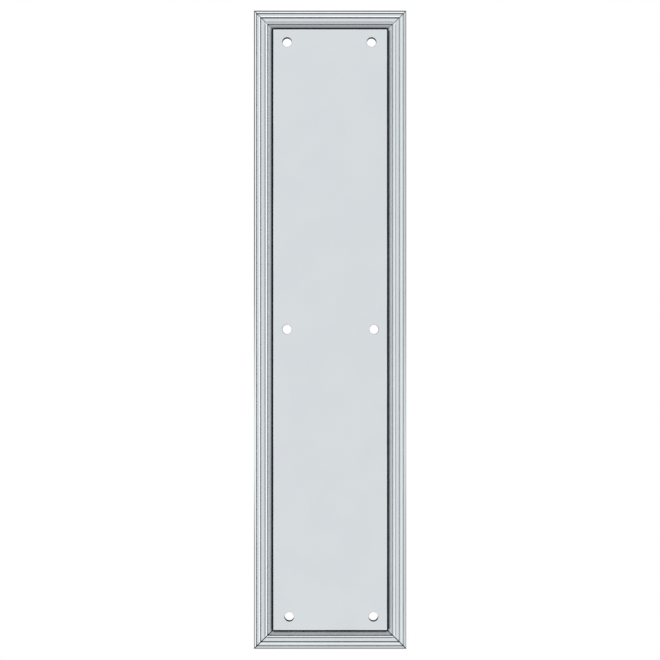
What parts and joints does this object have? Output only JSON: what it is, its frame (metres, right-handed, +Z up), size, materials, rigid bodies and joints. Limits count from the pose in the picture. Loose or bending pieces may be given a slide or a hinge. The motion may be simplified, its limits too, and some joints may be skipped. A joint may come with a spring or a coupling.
{
  "type": "door finger plate",
  "caption": "Tall narrow metal push plate for a door: a flat drilled panel inside a mitred, moulded border, screwed flat to the door face to keep hands off the paint.",
  "frame": {"origin": "middle of the flat back of the plate, on the face of the door", "axes": "+Z up along the plate's length, +X to the right seen from the front, -Y out of the door, so the moulded front faces -Y and the back faces +Y"},
  "size_m": [0.091, 0.004, 0.381],
  "materials": {
    "field_metal": "chrome plate over brass with a fine satin polish",
    "moulding_metal": "chrome plate over brass, polished, with darker grooves"
  },
  "bodies": {
    "root": {"panel": "field_metal", "moulding_top": "moulding_metal", "moulding_bottom": "moulding_metal", "moulding_left": "moulding_metal", "moulding_right": "moulding_metal"}
  },
  "joints": []
}
